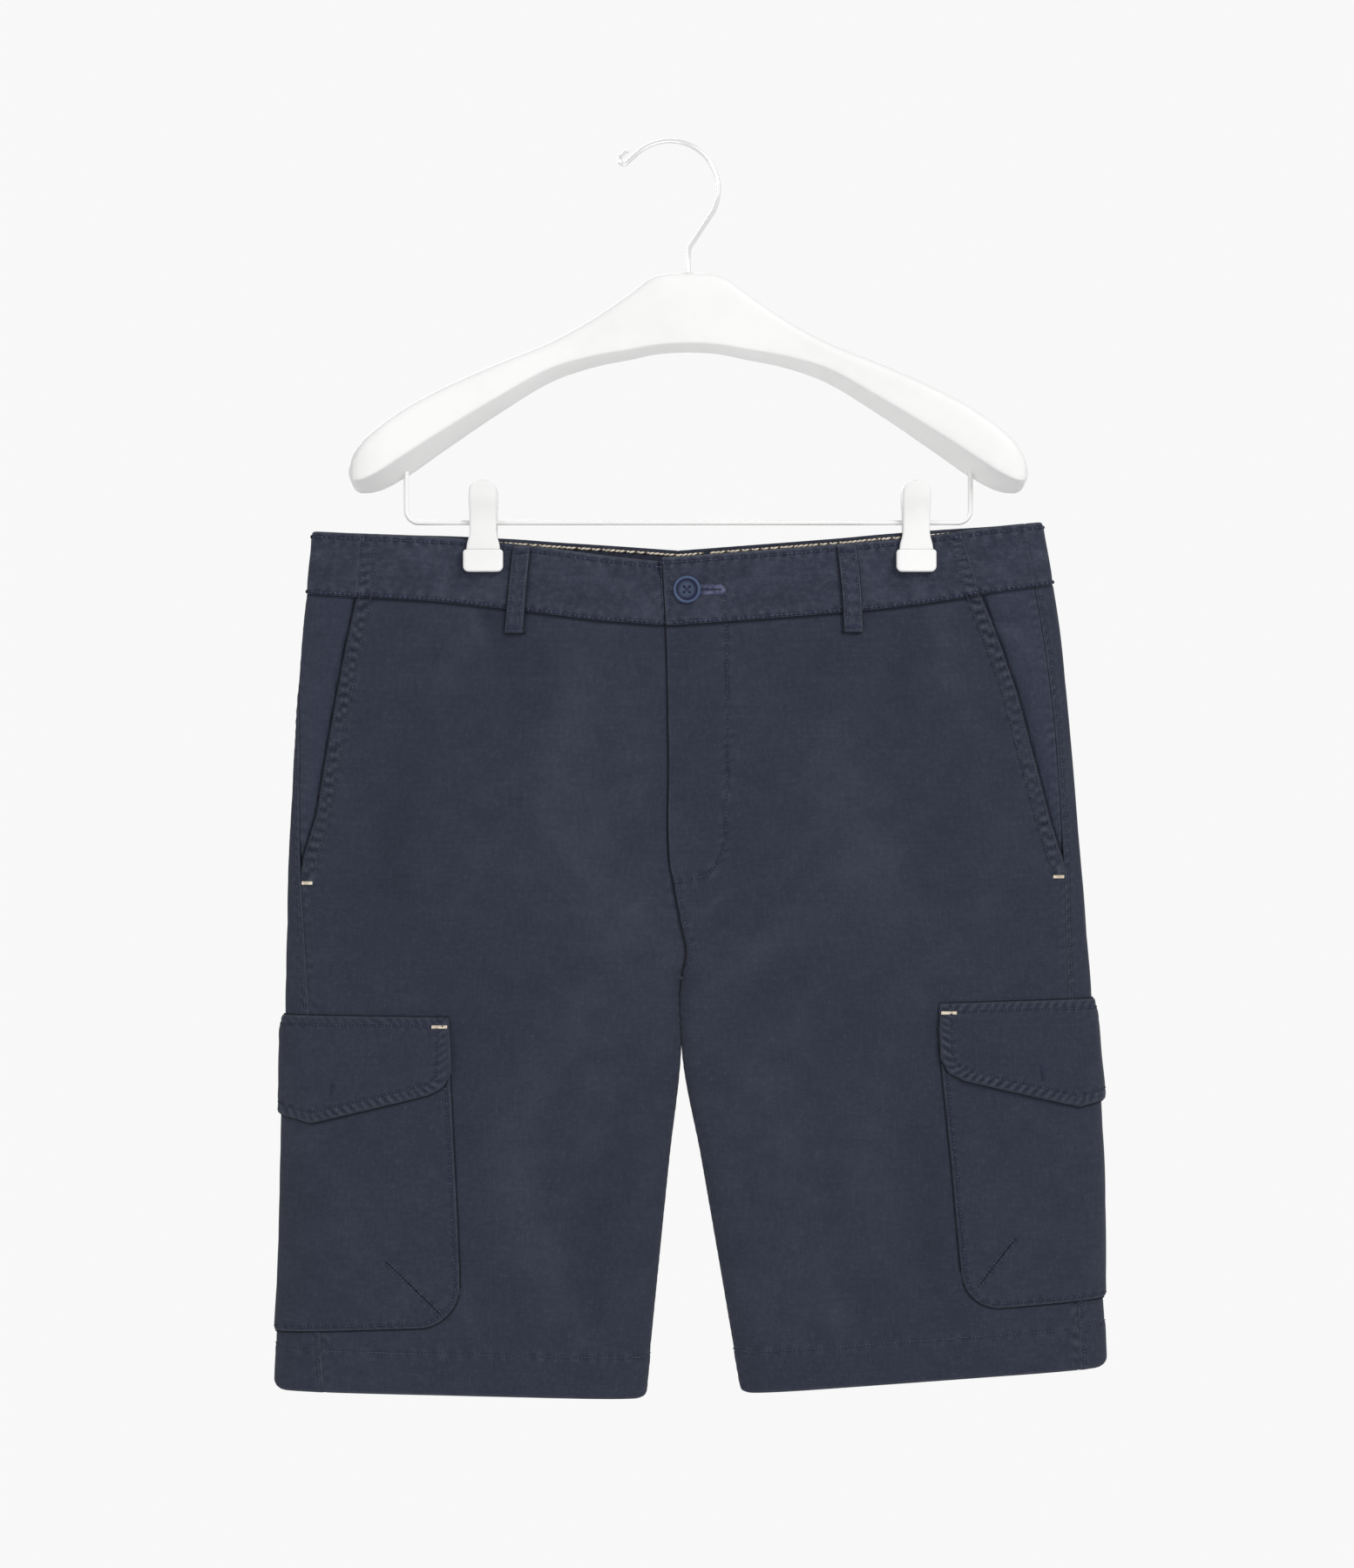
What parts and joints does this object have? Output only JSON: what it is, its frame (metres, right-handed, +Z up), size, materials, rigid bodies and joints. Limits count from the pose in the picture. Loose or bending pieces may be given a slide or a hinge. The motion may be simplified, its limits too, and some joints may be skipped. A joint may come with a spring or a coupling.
{
  "type": "cargo shorts on a clip hanger",
  "caption": "Knee-length twill cargo shorts with slanted hip pockets and flapped pockets on the thighs, hung by the waistband from the clips of a curved trouser hanger.",
  "frame": {"origin": "the inside of the hook's crown, where a rail or peg carries the hanger", "axes": "+Z up, -Y out of the front of the shorts, +X towards the wearer's left (the viewer's right)"},
  "size_m": [0.5256, 0.0407, 0.7945],
  "materials": {
    "navy_twill": "garment-washed cotton twill, matte",
    "button": "moulded, polished",
    "hanger_wood": "white lacquer, satin",
    "hook_steel": "bright plated wire",
    "bar_wire": "white coated wire",
    "clip_plastic": "white moulding, satin"
  },
  "bodies": {
    "root": {"front_right": "navy_twill", "front_left": "navy_twill", "back_right": "navy_twill", "back_left": "navy_twill", "pocket_facing_right": "navy_twill", "pocket_facing_left": "navy_twill", "waistband_front_right": "navy_twill", "waistband_front_left": "navy_twill", "waistband_side_right": "navy_twill", "waistband_side_left": "navy_twill", "waistband_back_right": "navy_twill", "waistband_back_left": "navy_twill", "fly_underlap": "navy_twill", "cargo_pocket_right": "navy_twill", "cargo_pocket_left": "navy_twill", "cargo_flap_right": "navy_twill", "cargo_flap_left": "navy_twill", "belt_loop_front_right": "navy_twill", "belt_loop_front_left": "navy_twill", "belt_loop_back_right": "navy_twill", "belt_loop_back_left": "navy_twill", "belt_loop_back_centre": "navy_twill", "button": "button", "hanger_body": "hanger_wood", "hanger_hook": "hook_steel", "trouser_bar": "bar_wire", "clip_right_front_jaw": "clip_plastic", "clip_right_back_jaw": "clip_plastic", "clip_right_front_pad": "clip_plastic", "clip_right_back_pad": "clip_plastic", "clip_right_barrel": "clip_plastic", "clip_left_front_jaw": "clip_plastic", "clip_left_back_jaw": "clip_plastic", "clip_left_front_pad": "clip_plastic", "clip_left_back_pad": "clip_plastic", "clip_left_barrel": "clip_plastic"}
  },
  "joints": []
}
